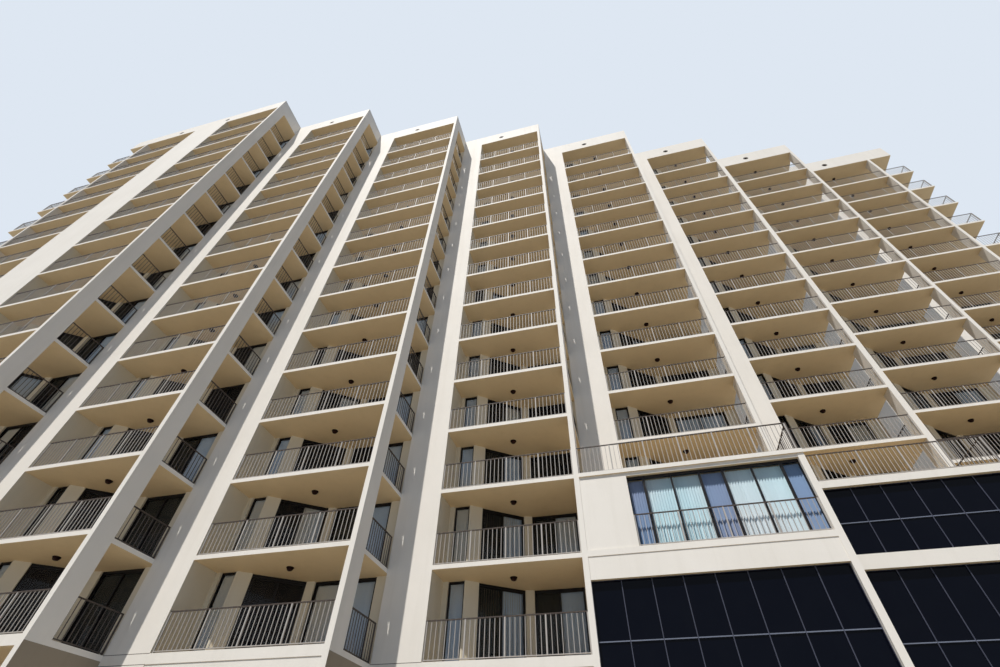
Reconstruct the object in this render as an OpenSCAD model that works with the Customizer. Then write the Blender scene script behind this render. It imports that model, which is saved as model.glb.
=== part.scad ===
// Staggered apartment block, a model at 1:2, in millimetres.
// Each bay stands one setback further back than the bay on its left, apart from
// the first two, which share one front. Bays are counted from 0 at the left end.

/* [Storeys] */
// Height from one floor to the next
storey_h = 1325; // [1200:5:1500]
// Number of storeys with balconies
storeys = 14; // [5:1:14]
// Extra height of the top storey
top_extra = 290; // [0:10:400]
// Thickness of every floor
slab_t = 70; // [50:5:100]
// Height of the lowest balcony floor above the ground
base_h = 2350; // [1800:10:2700]
// Height of the plain band round the roof
band_h = 780; // [600:10:1000]
// Drop of the deep edge under the lowest balconies
spandrel_drop = 60; // [30:5:120]

/* [Bays] */
// Distance by which each bay stands behind the one before
setback = 1200; // [1000:10:1400]
// Width of the blank front wall of a bay
front_wall_w = 800; // [600:10:1000]
// Clear width of a narrow balcony
narrow_open_w = 2475; // [2400:5:2700]
// Clear width of a wide balcony
wide_open_w = 2750; // [2500:5:3000]
// Depth of a bay from its front to its rear wall
bay_depth = 4800; // [4000:50:6000]
// Thickness of the walls
wall_t = 100; // [70:5:130]
// Width of a corner column, seen from the front
column_w = 90; // [60:5:130]
// Depth of a corner column
column_d = 345; // [250:5:450]
// Length of floor past the column at both ends of the row
end_overhang = 850; // [600:10:1100]

/* [Balcony wall] */
// Depth of a balcony at its shallow side
shallow_d = 575; // [450:5:650]
// Width of the pier beside the narrow window
window_pier_w = 90; // [50:5:150]
// Width of the narrow window
window_w = 295; // [200:5:350]
// Gap between the narrow window and the bend of the wall
bend_gap = 20; // [10:1:40]
// Angle of the slanting wall to the front
slant = 37.4; // [34:0.1:42]
// Width of the pier before the door in the slanting wall
slant_pier_w = 245; // [180:5:260]
// Width of the door in the slanting wall
door_w = 890; // [800:5:900]
// Distance from the inner bend to the far door
far_gap = 97; // [60:1:150]
// Width of the pier between the far door and the end of the balcony
far_pier_w = 225; // [150:5:300]
// Thickness of the panes
glass_t = 10; // [6:1:16]

/* [Railings] */
// Height of a railing above its floor
rail_h = 535; // [480:5:600]
// Thickness of a railing, front to back
rail_t = 20; // [14:1:40]
// Height of the top rail
top_rail_h = 16; // [12:1:40]
// Height of the bottom rail
bottom_rail_h = 12; // [8:1:30]
// Gap under the bottom rail
rail_gap = 20; // [10:1:60]
// Width of a railing post
post_w = 22; // [14:1:40]
// Distance between posts, about
post_pitch = 620; // [450:10:900]
// Distance of a railing from the edge of its floor
rail_inset = 26; // [10:1:60]

/* [Podium] */
// First bay with a podium before it, counted from 0
podium_from = 5; // [4:1:6]
// Balcony floor that the podium's terrace meets
podium_level = 2; // [2:1:3]
// Height of the plinth under the podium's glass
plinth_h = 175; // [100:5:300]
// Top of the tall glass in the first podium, above the lowest balcony floor
tall_glass_top = 925; // [700:5:1000]
// Sill of the first podium's window above the floor inside
wide_window_sill = 25; // [10:5:200]
// Depth of the lintel over the podium's windows
podium_lintel_h = 60; // [40:5:120]
// How far the wall panels of the first podium and of the foot stand back from the floors' edges
panel_recess = 10; // [2:1:30]
// How far the first podium's deck stands out over its wall
deck_lip = 22; // [2:2:60]
// Top of the tall glass in the other podiums, above the lowest balcony floor
low_glass_top = 1180; // [1000:5:1200]
// Sill of the upper glass in the other podiums above the floor inside
upper_glass_sill = 75; // [20:5:200]

/* [Rear wall] */
// Width of a rear window
rear_window_w = 900; // [600:10:1000]
// Height of a rear window
rear_window_h = 650; // [500:10:750]
// Height of a rear window's sill above its floor
rear_sill = 420; // [300:10:480]

/* [Roof] */
// Diameter of the drain hole in each stretch of the roof band
drain_d = 120; // [80:5:160]
// Height of the drain hole's centre above the roof
drain_h = 260; // [120:5:300]

/* [Hidden] */

bay_count = 9;
last_bay = bay_count - 1;
balcony_d = setback + wall_t;
step_count = last_bay - 1;
podium_bays = [for (i = [podium_from:last_bay]) i];
open_bays = [for (i = [0:podium_from - 1]) i];

// Clear width of a bay's balcony: every second bay after the end pair is wide
function open_w(i) = (i > 2 && i % 2 == 1) ? wide_open_w : narrow_open_w;
function bay_w(i) = front_wall_w + open_w(i) + column_w;
function bays_w(i) = i < 0 ? 0 : bay_w(i) + bays_w(i - 1);
row_w = bays_w(last_bay);
row_d = step_count * setback + bay_depth;
function bay_x(i) = bays_w(i - 1) - row_w / 2;
function bay_y(i) = max(i - 1, 0) * setback - row_d / 2;

// Top of a floor: -1 is the ground floor, 0 the lowest balconies, storeys the roof
function floor_z(j) = j < 0 ? slab_t : base_h + j * storey_h + (j == storeys ? top_extra : 0);
function clear_h(j) = floor_z(j + 1) - slab_t - floor_z(j);
band_z = floor_z(storeys) - slab_t;
band_top = band_z + band_h;
podium_z = floor_z(podium_level);
// The floor behind the podium's upper windows
window_level = podium_level - 1;

// Lowest floor at which a bay has a balcony of its own
function first_balcony(i) = i < podium_from ? 0 : podium_level;
function balconies(i) = [first_balcony(i):storeys - 1];

// Plan of the balcony's back wall
window_x = front_wall_w + window_pier_w;
bend_x = window_x + window_w + bend_gap;
slant_run = (balcony_d - shallow_d) / tan(slant);
inner_bend_x = bend_x + slant_run;
slant_l = (balcony_d - shallow_d) / sin(slant);
far_door_x = inner_bend_x + far_gap;
// A point of the slanting wall: s along it from the bend, t into the building
function slant_point(s, t) = [
    bend_x + s * cos(slant) - t * sin(slant),
    shallow_d + s * sin(slant) + t * cos(slant)];
door_end = slant_pier_w + door_w;
// Where the slanting wall's inner face passes the edge of the narrow window
inner_cut_y = shallow_d + wall_t / cos(slant) - bend_gap * tan(slant);

// Puts its children in a bay, with the bay's front left corner at the origin.
// The first bay is turned about, with its column at the left end of the row.
module in_bay(i) {
    if (i == 0)
        translate([bay_x(0) + bay_w(0), bay_y(0), 0]) mirror([1, 0, 0]) children();
    else
        translate([bay_x(i), bay_y(i), 0]) children();
}

module box(x, y, z, w, d, h) {
    translate([x, y, z]) cube([w, d, h]);
}

// A flat railing frame along X: two rails, feet at its ends, and posts that divide it evenly
module railing(length, height = rail_h) {
    panels = max(1, round(length / post_pitch));
    pitch = (length - post_w) / panels;
    hole_h = height - rail_gap - bottom_rail_h - top_rail_h;
    translate([0, rail_t, 0]) rotate([90, 0, 0]) linear_extrude(rail_t)
        difference() {
            square([length, height]);
            translate([post_w, 0]) square([length - 2 * post_w, rail_gap]);
            for (k = [0:panels - 1])
                translate([post_w + k * pitch, rail_gap + bottom_rail_h])
                    square([pitch - post_w, hole_h]);
        }
}

module railing_at(x, y, z, length) {
    translate([x, y, z]) railing(length);
}

// The same railing along Y
module side_railing_at(x, y, z, length) {
    translate([x + rail_t, y, z]) rotate([0, 0, 90]) railing(length);
}

module front_walls() {
    color("ivory")
        for (i = [0:last_bay])
            in_bay(i) box(0, 0, 0, front_wall_w, wall_t, band_z);
}

// The floors of neighbouring bays touch, so odd and even bays are kept apart
module floors(parity) {
    color("antiquewhite")
        for (i = [parity:2:last_bay])
            for (j = [-1:storeys])
                in_bay(i)
                    box(0, wall_t, floor_z(j) - slab_t, bay_w(i), bay_depth - 2 * wall_t, slab_t);
}

module floors_even() {
    floors(0);
}

module floors_odd() {
    floors(1);
}

// The front strip of each floor, from the blank wall to the end of the bay
module floor_edges() {
    color("ivory")
        for (i = [0:last_bay])
            for (j = [-1:storeys - 1])
                in_bay(i)
                    box(front_wall_w, 0, floor_z(j) - slab_t, bay_w(i) - front_wall_w, wall_t, slab_t);
}

module corner_columns() {
    color("ivory")
        for (i = [0:last_bay])
            for (j = [-1:storeys - 1])
                in_bay(i)
                    box(bay_w(i) - column_w, 0, floor_z(j), column_w, column_d, clear_h(j));
}

// The wall at the shallow side of each balcony
module side_walls() {
    color("ivory")
        for (i = [0:last_bay])
            for (j = balconies(i))
                in_bay(i)
                    box(front_wall_w - wall_t, wall_t, floor_z(j), wall_t, shallow_d, clear_h(j));
}

// The piers on both sides of the narrow window
module near_piers() {
    color("ivory")
        for (i = [0:last_bay])
            for (j = balconies(i))
                in_bay(i) {
                    box(front_wall_w, shallow_d, floor_z(j), window_pier_w, wall_t, clear_h(j));
                    translate([0, 0, floor_z(j)]) linear_extrude(clear_h(j))
                        polygon([
                            [bend_x - bend_gap, shallow_d],
                            [bend_x, shallow_d],
                            slant_point(slant_pier_w, 0),
                            slant_point(slant_pier_w, wall_t),
                            [bend_x - bend_gap, inner_cut_y]]);
                }
}

// The pier between the two doors, and the one at the deep end of the balcony
module far_piers() {
    color("ivory")
        for (i = [0:last_bay])
            for (j = balconies(i))
                in_bay(i) {
                    translate([0, 0, floor_z(j)]) linear_extrude(clear_h(j))
                        polygon([
                            slant_point(door_end, 0),
                            [far_door_x, balcony_d],
                            [far_door_x, balcony_d + wall_t],
                            slant_point(door_end, wall_t)]);
                    far_pier(i, j);
                }
}

// At the ends of the row this pier stops at the end wall
module far_pier(i, j) {
    reach = (i == 0 || i == last_bay) ? 0 : wall_t;
    box(bay_w(i) - far_pier_w, balcony_d, floor_z(j), far_pier_w + reach, wall_t, clear_h(j));
}

module balcony_windows() {
    color("lightslategray")
        for (i = [0:last_bay])
            for (j = balconies(i))
                in_bay(i)
                    box(window_x, shallow_d + wall_t / 2, floor_z(j), window_w, glass_t, clear_h(j));
}

module slanting_doors() {
    color("lightslategray")
        for (i = [0:last_bay])
            for (j = balconies(i))
                in_bay(i)
                    translate([bend_x, shallow_d, floor_z(j)]) rotate([0, 0, slant])
                        translate([slant_pier_w, wall_t / 2, 0])
                            cube([door_w, glass_t, clear_h(j)]);
}

module far_doors() {
    color("lightslategray")
        for (i = [0:last_bay])
            for (j = balconies(i))
                in_bay(i)
                    box(far_door_x, balcony_d + wall_t / 2, floor_z(j),
                        bay_w(i) - far_pier_w - far_door_x, glass_t, clear_h(j));
}

// The floors that run out past the end columns: the roof's starts behind the roof band
module end_balconies() {
    color("ivory")
        for (i = [0, last_bay])
            for (j = [first_balcony(i):storeys]) {
                front_y = j == storeys ? wall_t : 0;
                in_bay(i)
                    box(bay_w(i), front_y, floor_z(j) - slab_t, end_overhang, balcony_d - front_y, slab_t);
            }
}

module end_walls() {
    color("ivory")
        for (i = [0, last_bay])
            in_bay(i) box(bay_w(i), balcony_d, 0, wall_t, bay_depth - balcony_d, band_top);
}

// Two windows a storey and bay: three full-height piers, and panels between them
function rear_pier_w(i) = (bay_w(i) - 2 * rear_window_w) / 3;
function rear_window_x(i, k) = rear_pier_w(i) + k * (rear_pier_w(i) + rear_window_w);

module rear_piers() {
    color("ivory")
        for (i = [0:last_bay])
            in_bay(i)
                for (k = [0:2])
                    box(rear_window_x(i, k) - rear_pier_w(i), bay_depth - wall_t, 0,
                        rear_pier_w(i), wall_t, band_top);
}

function rear_head(j) = floor_z(j) + rear_sill + rear_window_h;

module rear_panels() {
    color("ivory")
        for (i = [0:last_bay])
            for (j = [-1:storeys])
                in_bay(i)
                    for (k = [0, 1]) {
                        bottom = j < 0 ? 0 : rear_head(j - 1);
                        top = j < storeys ? floor_z(j) + rear_sill : band_top;
                        box(rear_window_x(i, k), bay_depth - wall_t, bottom,
                            rear_window_w, wall_t, top - bottom);
                    }
}

// The side of each bay that stands out behind its neighbour at the rear
module rear_returns() {
    color("ivory")
        for (i = [2:last_bay])
            in_bay(i) box(-wall_t, bay_depth - setback, 0, wall_t, setback, band_top);
}

// One sheet a storey and bay, set against the inside of the rear wall
module rear_glass() {
    lap = 20;
    color("lightslategray")
        for (i = [0:last_bay])
            for (j = [-1:storeys - 1])
                in_bay(i)
                    box(rear_window_x(i, 0) - lap, bay_depth - wall_t - glass_t, floor_z(j) + rear_sill - lap,
                        rear_pier_w(i) + 2 * rear_window_w + 2 * lap, glass_t, rear_window_h + 2 * lap);
}

// The drain holes are in the middle of the bays, but nearer the blank wall in the second bay
second_drain_share = 0.2;
function drain_x(i) = bay_w(i) * (i == 1 ? second_drain_share : 1 / 2);

// The plain band along the roof's front, with a drain hole in each bay
module roof_band() {
    color("ivory")
        for (i = [0:last_bay])
            in_bay(i) {
                reach = (i == 0 || i == last_bay) ? end_overhang : 0;
                difference() {
                    box(0, 0, band_z, bay_w(i) + reach, wall_t, band_h);
                    translate([drain_x(i), -wall_t, floor_z(storeys) + drain_h])
                        rotate([-90, 0, 0]) cylinder(d = drain_d, h = 3 * wall_t, $fn = 32);
                }
                if (reach > 0)
                    box(bay_w(i), balcony_d - wall_t, band_z + slab_t,
                        reach - wall_t, wall_t, band_h - slab_t);
            }
}

// The band's sides, where a bay stands out before its neighbour
module roof_band_returns() {
    color("ivory") {
        for (i = [1:last_bay - 1])
            in_bay(i)
                box(bay_w(i) - wall_t, wall_t, floor_z(storeys), wall_t, setback, band_h - slab_t);
        for (i = [0, last_bay])
            in_bay(i)
                box(bay_w(i) + end_overhang - wall_t, wall_t, floor_z(storeys),
                    wall_t, balcony_d - wall_t, band_h - slab_t);
    }
}

module front_railings() {
    color("tan") {
        for (i = [0:last_bay])
            for (j = balconies(i))
                if (i < podium_from || j > podium_level)
                    in_bay(i)
                        railing_at(front_wall_w, rail_inset, floor_z(j), open_w(i));
        // Along the front of each podium's terrace
        for (i = podium_bays)
            in_bay(i)
                railing_at(0, rail_inset - setback, podium_z, podium_w(i) - rail_inset - rail_t);
        // Before the wide window of the first podium, on its sill
        in_bay(podium_from)
            translate([high_x(podium_from), window_rail_y, high_sill(podium_from)])
                railing(podium_side_x(podium_from) - high_x(podium_from), rail_h - wide_window_sill);
        // Along the front and back of the end balconies
        for (i = [0, last_bay])
            for (j = balconies(i))
                in_bay(i) {
                    railing_at(bay_w(i), rail_inset, floor_z(j), end_overhang - rail_inset - rail_t);
                    railing_at(bay_w(i) + wall_t, balcony_d - rail_inset - rail_t, floor_z(j),
                        end_overhang - wall_t - rail_inset - rail_t);
                }
    }
}

module side_railings() {
    color("tan") {
        // Behind each corner column, as far as the next bay's front
        for (i = [1:last_bay - 1])
            for (j = balconies(i))
                if (i != podium_from - 1 || j >= podium_level)
                    in_bay(i)
                        side_railing_at(bay_w(i) - rail_inset - rail_t, column_d, floor_z(j),
                            setback - column_d);
        // At the right end of each podium's terrace
        for (i = podium_bays)
            in_bay(i)
                side_railing_at(podium_w(i) - rail_inset - rail_t, rail_inset - setback, podium_z,
                    setback - rail_inset);
        // At the tip of the end balconies
        for (i = [0, last_bay])
            for (j = balconies(i))
                in_bay(i)
                    side_railing_at(bay_w(i) + end_overhang - rail_inset - rail_t, rail_inset,
                        floor_z(j), balcony_d - 2 * rail_inset);
    }
}

// The deeper edge under the lowest balconies
module base_spandrels() {
    color("ivory")
        for (i = open_bays)
            in_bay(i)
                box(front_wall_w, 0, floor_z(0) - slab_t - spandrel_drop,
                    open_w(i), wall_t, spandrel_drop);
}

// Every second bay is closed at its foot
module base_front_walls() {
    color("ivory")
        for (i = open_bays)
            if (i % 2 == 1)
                in_bay(i)
                    box(front_wall_w, panel_recess, floor_z(-1), open_w(i), wall_t - panel_recess,
                        clear_h(-1) - spandrel_drop);
}

module base_back_walls() {
    color("ivory")
        for (i = open_bays)
            if (i % 2 == 0) {
                reach = i == 0 ? 0 : wall_t;
                in_bay(i)
                    box(front_wall_w - wall_t, balcony_d, floor_z(-1),
                        bay_w(i) + reach - front_wall_w + wall_t, wall_t, clear_h(-1));
            }
}

// The walls between the open foot of a bay and its neighbours
module base_side_walls() {
    color("ivory")
        for (i = open_bays) {
            in_bay(i)
                box(bay_w(i) - wall_t, column_d, floor_z(-1),
                    wall_t, balcony_d - column_d, clear_h(-1));
            if (i % 2 == 0)
                in_bay(i)
                    box(front_wall_w - wall_t, wall_t, floor_z(-1),
                        wall_t, balcony_d - wall_t, clear_h(-1));
        }
}

// Place of a podium's right-hand wall: in line with the end wall under the last bay
function podium_side_x(i) = i == last_bay ? bay_w(i) : bay_w(i) - wall_t;
function podium_w(i) = podium_side_x(i) + wall_t;

// The right-hand side of each podium, and the left-hand side of the first
module podium_side_walls() {
    color("ivory") {
        for (i = podium_bays) {
            reach = i == last_bay ? balcony_d : wall_t;
            in_bay(i)
                box(podium_side_x(i), -setback, 0, wall_t, setback + reach, podium_z - slab_t);
        }
        in_bay(podium_from)
            box(0, wall_t - setback, 0, wall_t, setback - wall_t, podium_z - slab_t);
    }
}

// Heights of the glass in the podium fronts
function low_top(i) = floor_z(0) + (i == podium_from ? tall_glass_top : low_glass_top);
function high_sill(i) = floor_z(window_level)
    + (i == podium_from ? wide_window_sill : upper_glass_sill);
high_head = podium_z - slab_t - podium_lintel_h;
// The first podium's window starts in line with the balconies above it
function high_x(i) = i == podium_from ? front_wall_w : 0;
// The glass lies at the back of the wall's thickness
podium_glass_y = wall_t - glass_t - setback;
// The railing before the wide window stands midway between the glass and the edge
window_rail_y = (podium_glass_y - setback - rail_t) / 2;
// Underside of the floor behind the upper windows
window_floor_z = floor_z(window_level) - slab_t;
// The first podium's panels stand back from the edge of that floor
function panel_y(i) = (i == podium_from ? panel_recess : 0) - setback;
function band_bottom(i) = i == podium_from ? window_floor_z : low_top(i);

// A piece of a podium's front, from a given height to another
module front_piece(w, y, from, to) {
    box(0, y, from, w, wall_t - setback - y, to - from);
}

// The first podium's panels: beside its window, and between its floor edge and the tall glass
module podium_front_wall() {
    i = podium_from;
    color("ivory")
        in_bay(i) {
            front_piece(front_wall_w, panel_y(i), high_sill(i), high_head);
            front_piece(podium_side_x(i), panel_y(i), low_top(i), window_floor_z);
        }
}

module podium_front_bands() {
    color("ivory")
        for (i = podium_bays)
            in_bay(i) {
                front_w = podium_side_x(i);
                front_piece(front_w, -setback, 0, plinth_h);
                front_piece(front_w, -setback, band_bottom(i), high_sill(i));
                front_piece(front_w, panel_y(i), high_head, high_head + podium_lintel_h);
            }
}

module podium_decks() {
    color("ivory")
        for (i = podium_bays) {
            lip = i == podium_from ? deck_lip : 0;
            in_bay(i) box(0, -setback - lip, podium_z - slab_t, podium_w(i), setback + lip, slab_t);
        }
}

module podium_floors() {
    color("antiquewhite")
        for (i = podium_bays)
            in_bay(i)
                box(wall_t, wall_t - setback, window_floor_z,
                    podium_side_x(i) - wall_t, setback - wall_t, slab_t);
}

module podium_ground_floors() {
    color("antiquewhite")
        for (i = podium_bays)
            in_bay(i)
                box(wall_t, wall_t - setback, 0, podium_side_x(i) - wall_t, setback - wall_t, slab_t);
}

module podium_low_pane(i) {
    in_bay(i)
        box(0, podium_glass_y, plinth_h, podium_side_x(i), glass_t, low_top(i) - plinth_h);
}

module podium_high_pane(i) {
    in_bay(i)
        box(high_x(i), podium_glass_y, high_sill(i), podium_side_x(i) - high_x(i), glass_t,
            high_head - high_sill(i));
}

// The dark glass: the upper pane of the first podium is the wide window
module podium_glass() {
    color("midnightblue")
        for (i = podium_bays) {
            podium_low_pane(i);
            if (i != podium_from)
                podium_high_pane(i);
        }
}

module wide_window() {
    color("lightslategray") podium_high_pane(podium_from);
}

front_walls();
floors_odd();
floors_even();
floor_edges();
corner_columns();
side_walls();
near_piers();
far_piers();
balcony_windows();
slanting_doors();
far_doors();
end_balconies();
end_walls();
rear_piers();
rear_panels();
rear_returns();
rear_glass();
roof_band();
roof_band_returns();
front_railings();
side_railings();
base_spandrels();
base_front_walls();
base_back_walls();
base_side_walls();
podium_side_walls();
podium_front_wall();
podium_front_bands();
podium_decks();
podium_floors();
podium_ground_floors();
podium_glass();
wide_window();
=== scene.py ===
import math
import random

import bmesh
import bpy
from mathutils import Matrix, Vector


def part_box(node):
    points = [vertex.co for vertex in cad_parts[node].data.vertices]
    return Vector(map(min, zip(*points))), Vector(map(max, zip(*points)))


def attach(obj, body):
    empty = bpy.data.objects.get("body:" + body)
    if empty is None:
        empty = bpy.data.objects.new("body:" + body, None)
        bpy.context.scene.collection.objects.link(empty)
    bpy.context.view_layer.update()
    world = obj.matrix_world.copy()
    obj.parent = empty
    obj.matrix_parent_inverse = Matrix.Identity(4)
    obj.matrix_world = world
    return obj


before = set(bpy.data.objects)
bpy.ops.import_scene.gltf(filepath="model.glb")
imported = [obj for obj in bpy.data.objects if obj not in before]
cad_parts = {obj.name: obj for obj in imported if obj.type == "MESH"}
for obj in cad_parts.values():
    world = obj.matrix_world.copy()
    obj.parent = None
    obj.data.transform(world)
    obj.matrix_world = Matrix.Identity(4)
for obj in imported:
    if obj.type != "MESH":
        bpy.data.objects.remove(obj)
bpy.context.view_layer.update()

bl_info = {
    "name": "Staggered Apartment Block",
    "version": (1, 0, 0),
    "blender": (4, 5, 0),
    "location": "3D View > Sidebar > Block",
    "description": "Finishes, railings, glazing and lamps of a staggered apartment block at 1:2",
    "category": "Object",
}

BODY = "root"
SAME_POINT = 1e-5
SAME_LEVEL = 0.01
DIGITS = 4


def shade(red, green, blue):
    """A colour as it shows on a screen, 0 to 255, as the linear values that Blender keeps."""
    def linear(value):
        value /= 255
        return value / 12.92 if value <= 0.04045 else ((value + 0.055) / 1.055) ** 2.4
    return (linear(red), linear(green), linear(blue))


def length(name, description, default):
    return bpy.props.FloatProperty(name=name, description=description, default=default,
                                   min=0.0, unit="LENGTH", precision=4)


def colour(name, description, default):
    return bpy.props.FloatVectorProperty(name=name, description=description, default=default,
                                         size=3, min=0.0, max=1.0, subtype="COLOR")


class BLOCK_PG_sizes(bpy.types.PropertyGroup):
    """Sizes of the fine pieces, at 1:2."""
    baluster_pitch: length("Baluster pitch", "Distance between balusters, about", 0.077)
    baluster_w: length("Baluster width", "Width of a baluster", 0.009)
    frame_w: length("Frame width", "Width of the bars of window and door frames", 0.026)
    frame_d: length("Frame depth", "Depth of window and door frames", 0.034)
    head_h: length("Head height", "Height of the dark head over windows and doors", 0.034)
    slat_w: length("Slat width", "Width of a blind's slats", 0.046)
    slat_pitch: length("Slat pitch", "Distance between a blind's slats, about", 0.043)
    slat_t: length("Slat thickness", "Thickness of a blind's slats", 0.002)
    blind_gap: length("Blind gap", "Distance of the blinds behind the glass", 0.032)
    sliding_w: length("Sliding panel", "Width of the wide window's sliding panels", 0.455)
    middle_w: length("Middle panel", "Width of the wide window's middle panel", 0.37)
    post_w: length("Window post", "Width of the posts beside the sliding panels", 0.040)
    wide_slat_w: length("Wide slats", "Width of the slats in the wide window", 0.0635)
    wide_blind_gap: length("Wide blind gap", "Distance of its blinds behind the glass", 0.07)
    wide_head_h: length("Wide head", "Height of the dark head over the wide window", 0.045)
    handle_h: length("Handle height", "Height of the sliding panels' handles above the sill", 0.38)
    handle_long: length("Handle length", "Length of the sliding panels' handles", 0.09)
    mullion_w: length("Mullion width", "Width of the podium's mullions", 0.013)
    mullion_d: length("Mullion depth", "Depth of the podium's mullions", 0.045)
    podium_panel_w: length("Podium panel", "Width of the podium's glass panels, about", 0.4425)
    tall_transom: length("Tall transom", "Height of the first podium's transom", 2.50)
    low_transom: length("Low transom", "Height of the other podiums' lower transom", 2.575)
    high_transom: length("High transom", "Height of the other podiums' upper transom", 4.27)
    lamp_r: length("Lamp radius", "Radius of a ceiling lamp", 0.062)
    lamp_h: length("Lamp height", "Height of a ceiling lamp", 0.055)
    lamp_y: length("Lamp depth", "Distance of a ceiling lamp behind the balcony's front", 0.615)
    # The sleeves are dark linings that stand in as painted shade inside the drain holes
    sleeve_t: length("Sleeve wall", "Thickness of the sleeves in the drain holes", 0.006)
    grate_d: length("Grate depth", "Depth of the bars in the drain holes", 0.03)
    grate_bars: bpy.props.IntProperty(name="Grate bars", description="Bars in each drain hole",
                                      default=5, min=1)
    # The joints' width is the width of their painted shadow lines
    joint_w: length("Joint width", "Width of the joints at the lowest floor", 0.008)
    collar_r: length("Collar radius", "Radius of the dark collars round the drain holes", 0.105)
    rear_sash_w: length("Rear sash", "Width of the bars of the rear windows", 0.024)


class BLOCK_PG_colours(bpy.types.PropertyGroup):
    """Colours of the finishes."""
    wall: colour("Walls", "Painted stucco", shade(239, 232, 221))
    # Stucco inside the balconies: the wall paint darkened and warmed as painted shade of the
    # recesses
    inner_wall: colour("Inner walls", "Stucco inside the balconies", shade(221, 212, 191))
    # Undersides: a warm tan that is partly their paint and partly painted warm shade from light
    # bounced off the decks
    ceiling: colour("Undersides", "Painted undersides of floors and bands", shade(228, 203, 161))
    # The foot storey's sides: the stucco darkened as painted shade of their recess
    foot: colour("Foot", "Stucco of the foot storey's sides", shade(152, 138, 118))
    # Painted shadow lines at the joints of the lowest floor, and the dark collars round the drain
    # holes
    joint: colour("Joints", "Joints at the lowest floor and collars of the drains",
                  shade(84, 74, 62))
    deck: colour("Decks", "Balcony floors", shade(176, 160, 136))
    terrace: colour("Terraces", "Floors of the podium", shade(190, 178, 158))
    roofing: colour("Roofing", "Gravel on the roofs", shade(176, 170, 160))
    # Painted shade in the gaps between the gravel's stones
    roof_gaps: colour("Roofing, darker", "Gaps of the gravel", shade(140, 134, 124))
    railing: colour("Railings", "Painted metal", shade(180, 174, 168))
    # Side railings: the railings' paint darkened as painted shade, as they stand in shade
    side_railing: colour("Side railings", "Painted metal, duller", shade(80, 72, 66))
    # Top rails: partly a darker paint, partly painted shade of their undersides seen from below
    handrail: colour("Handrails", "Darker paint of the top rails", shade(76, 66, 60))
    bronze: colour("Bronze", "Frames of windows and doors", shade(22, 19, 20))
    mullion: colour("Mullions", "Upright bars of the podium's glass", shade(70, 72, 86))
    # Transoms: the mullions' metal lightened as a painted highlight where light falls on the level
    # bars
    transom: colour("Transoms", "Level bars of the podium's glass", shade(118, 124, 140))
    glass: colour("Glass", "Tinted panes of the balconies", shade(26, 34, 36))
    clear_glass: colour("Clear glass", "Panes of the podium's wide window", shade(60, 84, 110))
    dark_glass: colour("Dark glass", "Panes of the podium", shade(4, 7, 19))
    dust: colour("Dust", "Dust on the panes", shade(120, 124, 122))
    cool_slat: colour("Cool slats", "Blinds, the bluer ones", shade(206, 226, 246))
    warm_slat: colour("Warm slats", "Blinds, the greyer ones", shade(224, 222, 210))
    # Dark slats: painted shade of the rooms seen through the glass
    dark_slat: colour("Dark slats", "Drawn blinds of the darker rooms", shade(62, 62, 58))
    black_slat: colour("Black slats", "The darkest of them", shade(44, 42, 42))
    white_slat: colour("White slats", "Blinds of the wide window", shade(220, 248, 255))
    bright_slat: colour("Bright slats", "The brightest of them", shade(238, 248, 252))
    grey_slat: colour("Grey slats", "Darker blinds of the wide window", shade(142, 170, 206))
    mauve_slat: colour("Mauve slats", "The warmer of them", shade(154, 168, 198))
    lamp: colour("Lamps", "Ceiling lamps", shade(30, 12, 8))
    lens: colour("Lenses", "Glass of the ceiling lamps", shade(48, 20, 14))
    lens_ribs: colour("Lens ribs", "Darker ribs of the lenses", shade(36, 14, 9))
    ground: colour("Ground", "The floor of the stage", shade(205, 203, 198))
    sky: colour("Sky", "The pale background", shade(222, 231, 242))
    skylight: colour("Skylight", "Light from the sky", shade(172, 208, 255))


def sizes():
    return bpy.context.scene.block_sizes


def colours():
    return bpy.context.scene.block_colours


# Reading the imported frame

def solids(node):
    """The corner points of each separate solid of a CAD node."""
    shape = bmesh.new()
    shape.from_mesh(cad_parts[node].data)
    bmesh.ops.remove_doubles(shape, verts=shape.verts, dist=SAME_POINT)
    seen = set()
    found = []
    for first in shape.verts:
        if first in seen:
            continue
        seen.add(first)
        waiting = [first]
        points = []
        while waiting:
            corner = waiting.pop()
            points.append(corner.co.copy())
            for edge in corner.link_edges:
                other = edge.other_vert(corner)
                if other not in seen:
                    seen.add(other)
                    waiting.append(other)
        found.append(points)
    shape.free()
    return found


def limits(points):
    """Lowest and highest corner of some points."""
    low = Vector(min(p[k] for p in points) for k in range(3))
    high = Vector(max(p[k] for p in points) for k in range(3))
    return low, high


def centre(points):
    low, high = limits(points)
    return (low + high) / 2


def levels(points, axis=2):
    """The different places of some points along an axis, in order."""
    return sorted({round(p[axis], DIGITS) for p in points})


class Pane:
    """An upright sheet of glass, seen from the front."""

    def __init__(self, points):
        low, high = limits(points)
        self.bottom = low.z
        self.top = high.z
        foot = [p for p in points if p.z - low.z < SAME_POINT]
        corner = foot[0]
        across, beside = sorted(foot[1:], key=lambda p: (p - corner).length)[:2]
        self.w = (beside - corner).length
        out = (across - corner).normalized()
        self.out = -out if out.y > 0 else out
        self.along = Vector((-self.out.y, self.out.x, 0))
        middle = sum(foot, Vector()) / len(foot)
        self.start = middle - self.along * self.w / 2

    @property
    def h(self):
        return self.top - self.bottom

    @property
    def turn(self):
        return math.atan2(self.along.y, self.along.x)

    def point(self, s, z, out=0.0):
        """A point s along the pane, at height z, and out in front of the glass's middle."""
        place = self.start + self.along * s + self.out * out
        return Vector((place.x, place.y, z))


def panes(node):
    return [Pane(points) for points in solids(node)]


# Making meshes

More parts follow.
